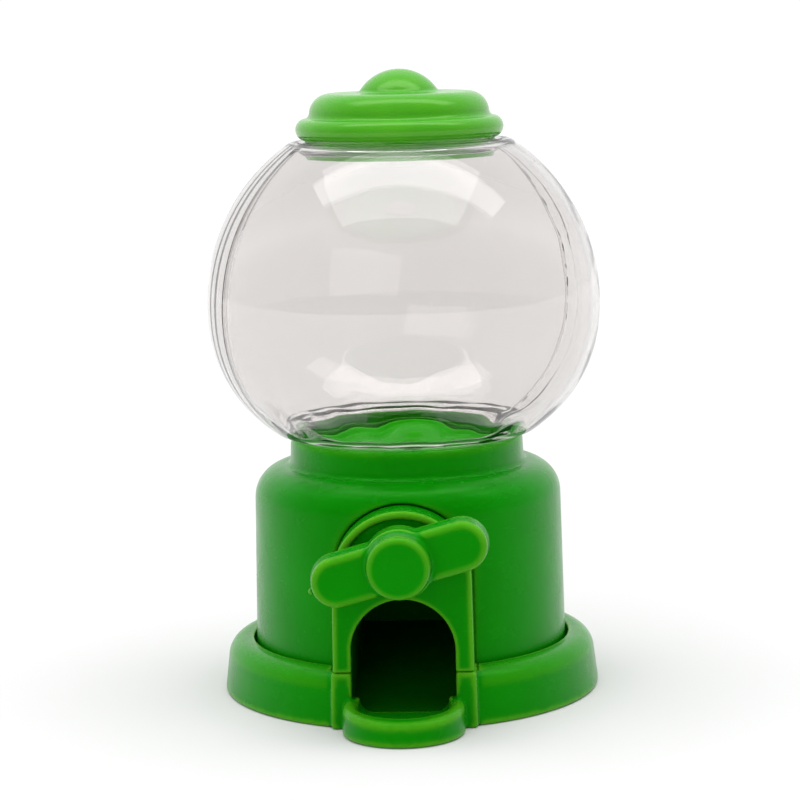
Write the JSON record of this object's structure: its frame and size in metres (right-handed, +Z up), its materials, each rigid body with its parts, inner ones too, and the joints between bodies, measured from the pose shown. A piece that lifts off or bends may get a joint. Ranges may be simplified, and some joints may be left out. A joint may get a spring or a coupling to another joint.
{
  "type": "gumball machine",
  "caption": "Small desk gumball machine: a clear globe with a lift-off lid over a moulded green body with a turning handle, a pocketed drum, a chute and a tray.",
  "frame": {"origin": "middle of the flat underside, on the axis of the body and the globe", "axes": "+Z up, -Y to the front where the handle, the chute and the tray are, +X to the right of someone facing +Y"},
  "size_m": [0.079, 0.0904, 0.125],
  "materials": {
    "green_plastic": "semi-gloss moulded plastic, saturated green",
    "lid_plastic": "glossy moulded plastic, brighter green",
    "inner_plastic": "plain moulded green plastic",
    "drum_plastic": "natural white moulded plastic",
    "clear_plastic": "clear polystyrene, polished",
    "steel": "zinc-plated steel"
  },
  "bodies": {
    "housing": {"base": "green_plastic", "bottom_plate": "green_plastic", "body_shell": "green_plastic", "front_panel": "green_plastic", "hopper": "green_plastic", "drum_housing": "inner_plastic", "bearing_plate": "inner_plastic", "chute": "green_plastic", "body_screws": "steel", "plate_screws": "steel", "panel_screws": "steel", "hopper_screws": "steel", "housing_screws": "steel", "bearing_screws": "steel", "chute_screws": "steel"},
    "rotor": {"spindle": "steel", "drum": "drum_plastic", "handle": "green_plastic", "knob_cap": "green_plastic", "handle_screw": "steel", "spindle_washer": "steel", "spindle_screw": "steel"},
    "globe": {"globe_front": "clear_plastic", "globe_rear": "clear_plastic"},
    "lid": {"lid": "lid_plastic"}
  },
  "joints": [
    {"name": "handle_turn", "type": "hinge", "parent": "housing", "child": "rotor", "pos_m": [0, 0, 0.0338], "axis": [0, -1, 0], "continuous": true},
    {"name": "globe_turn", "type": "hinge", "parent": "housing", "child": "globe", "pos_m": [0, 0, 0.05], "axis": [0, 0, 1], "continuous": true},
    {"name": "lid_lift", "type": "slide", "parent": "globe", "child": "lid", "axis": [0, 0, 1], "range_m": [0, 0.03]}
  ]
}
